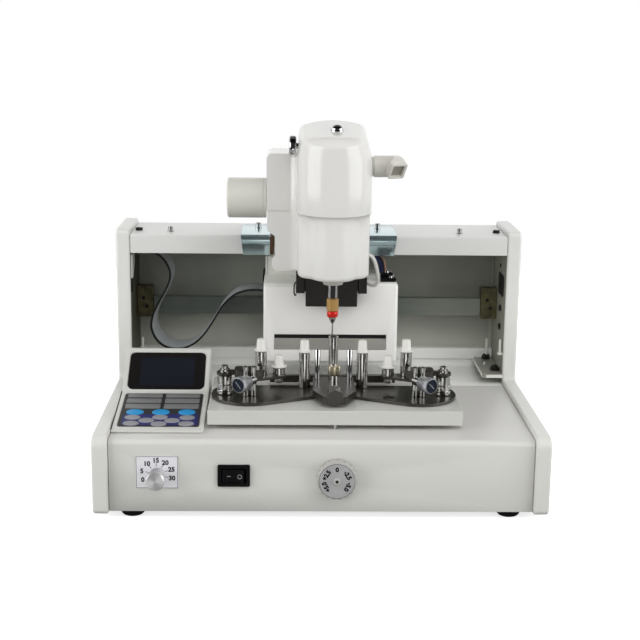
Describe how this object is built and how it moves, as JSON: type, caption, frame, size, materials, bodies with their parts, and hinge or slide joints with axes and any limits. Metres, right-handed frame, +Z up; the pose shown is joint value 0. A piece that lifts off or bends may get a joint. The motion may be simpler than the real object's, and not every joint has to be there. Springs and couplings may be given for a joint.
{
  "type": "lens drilling machine",
  "caption": "Bench drilling machine for rimless spectacle lenses: white L-shaped body, carriage under a top beam, drilling head, sliding table with a post fixture, keypad console and panel dials.",
  "frame": {"origin": "centre of the bounding box at the rest plane under the feet", "axes": "+X to the operator's right, +Y to the rear, +Z up"},
  "size_m": [0.3, 0.2196, 0.2528],
  "materials": {
    "white_paint": "smooth satin white enamel",
    "white_plastic": "glossy white moulded plastic",
    "black_plastic": "satin black plastic",
    "black_metal": "black oxide on machined metal",
    "black_rubber": "matt black rubber",
    "chrome": "polished plating",
    "zinc": "bright blue zinc plating",
    "yellow_zinc": "yellow passivated zinc plating",
    "steel": "ground steel",
    "aluminium": "turned and brushed aluminium",
    "scale_plate": "pale printed scale",
    "brass": "turned brass",
    "red_anodised": "red ring on a steel bit",
    "dark_window": "glossy dark window",
    "key_sheet": "printed membrane",
    "board_green": "lacquered circuit board",
    "grey_cable": "grey flat cable",
    "white_cable": "white cable sheath"
  },
  "bodies": {
    "frame": {"left_side_cover": "white_paint", "right_side_cover": "white_paint", "base_housing": "white_paint", "floor_plate": "steel", "foot_front_left": "black_rubber", "foot_front_right": "black_rubber", "foot_rear_left": "black_rubber", "foot_rear_right": "black_rubber", "top_beam": "white_paint", "rear_wall": "white_paint", "left_beam_hook": "zinc", "right_beam_hook": "zinc", "guide_rail": "steel", "left_rail_bracket": "yellow_zinc", "right_rail_bracket": "yellow_zinc", "corner_plate": "white_paint", "console_housing": "white_plastic", "display_window": "dark_window", "keypad_membrane": "key_sheet", "speed_scale_plate": "scale_plate", "switch_frame": "black_plastic", "power_inlet": "black_plastic", "circuit_board": "board_green", "ribbon_cable": "grey_cable"},
    "speed_knob": {"speed_knob": "aluminium"},
    "switch_rocker": {"switch_rocker": "black_plastic"},
    "offset_dial": {"offset_dial": "white_plastic"},
    "carriage": {"column_cover": "white_paint", "name_plate": "aluminium", "rail_runner": "steel", "terminal_block": "black_plastic", "slide_guide": "black_metal"},
    "head": {"head_cover": "white_plastic", "belt_housing": "white_plastic", "side_motor": "white_plastic", "slide_plate": "black_metal", "spindle_motor": "steel", "cap_nut": "chrome", "head_cable": "white_cable"},
    "side_knob": {"side_knob": "chrome"},
    "lamp_arm": {"lamp_arm": "white_plastic"},
    "spindle": {"spindle_shaft": "chrome", "collet_nut": "brass", "drill_bit": "red_anodised"},
    "table": {"table_plate": "white_paint", "centre_block": "black_metal", "centre_post": "chrome", "left_wing_plate": "black_metal", "right_wing_plate": "black_metal", "left_inner_post": "chrome", "right_inner_post": "chrome", "left_clamp_block": "black_metal", "right_clamp_block": "black_metal"},
    "thumb_screw": {"thumb_screw": "brass"},
    "left_arm": {"left_swing_arm": "black_metal", "left_outer_post": "chrome"},
    "right_arm": {"right_swing_arm": "black_metal", "right_outer_post": "chrome"},
    "left_thimble": {"left_thimble": "steel"},
    "right_thimble": {"right_thimble": "steel"}
  },
  "joints": [
    {"name": "carriage_slide", "type": "slide", "parent": "frame", "child": "carriage", "axis": [1, 0, 0], "range_m": [-0.05, 0.05], "deforming": ["ribbon_cable"]},
    {"name": "head_slide", "type": "slide", "parent": "carriage", "child": "head", "axis": [0, 0, 1], "range_m": [-0.008, 0.015], "deforming": ["head_cable"]},
    {"name": "spindle_spin", "type": "hinge", "parent": "head", "child": "spindle", "pos_m": [0.008, -0.01805, 0.13], "axis": [0, 0, 1], "continuous": true},
    {"name": "side_knob_turn", "type": "hinge", "parent": "head", "child": "side_knob", "pos_m": [-0.0181, -0.01405, 0.238], "axis": [1, 0, 0], "range_deg": [-180, 180]},
    {"name": "lamp_arm_swivel", "type": "hinge", "parent": "head", "child": "lamp_arm", "pos_m": [0.0341, -0.01005, 0.2242], "axis": [1, 0, 0], "range_deg": [-30, 30]},
    {"name": "table_slide", "type": "slide", "parent": "frame", "child": "table", "axis": [0, 1, 0], "range_m": [-0.005, 0.005]},
    {"name": "offset_dial_turn", "type": "hinge", "parent": "frame", "child": "offset_dial", "pos_m": [0.0095, -0.09445, 0.0293], "axis": [0, 1, 0], "range_deg": [-140, 140]},
    {"name": "speed_knob_turn", "type": "hinge", "parent": "frame", "child": "speed_knob", "pos_m": [-0.1078, -0.09525, 0.0312], "axis": [0, 1, 0], "range_deg": [-120, 120]},
    {"name": "switch_rock", "type": "hinge", "parent": "frame", "child": "switch_rocker", "pos_m": [-0.0578, -0.09395, 0.0306], "axis": [0, 0, 1], "range_deg": [0, 14]},
    {"name": "thumb_screw_turn", "type": "hinge", "parent": "table", "child": "thumb_screw", "pos_m": [0.009, -0.04355, 0.08], "axis": [0, 0, 1], "range_deg": [-180, 180]},
    {"name": "left_arm_swing", "type": "hinge", "parent": "table", "child": "left_arm", "pos_m": [-0.05, -0.03505, 0.0795], "axis": [0, 0, 1], "range_deg": [-4, 4]},
    {"name": "right_arm_swing", "type": "hinge", "parent": "table", "child": "right_arm", "pos_m": [0.068, -0.03505, 0.0795], "axis": [0, 0, 1], "range_deg": [-4, 4]},
    {"name": "left_thimble_turn", "type": "hinge", "parent": "table", "child": "left_thimble", "pos_m": [-0.0565, -0.05805, 0.0812], "axis": [-0.5736, -0.8192, 0], "range_deg": [-180, 180]},
    {"name": "right_thimble_turn", "type": "hinge", "parent": "table", "child": "right_thimble", "pos_m": [0.0745, -0.05805, 0.0812], "axis": [0.5736, -0.8192, 0], "range_deg": [-180, 180]}
  ],
  "couplings": [
    {"joint": "offset_dial_turn", "follows": "table_slide", "rad_per_m": 488.6},
    {"joint": "left_thimble_turn", "follows": "left_arm_swing", "ratio": 44.9},
    {"joint": "right_thimble_turn", "follows": "right_arm_swing", "ratio": -44.9}
  ]
}
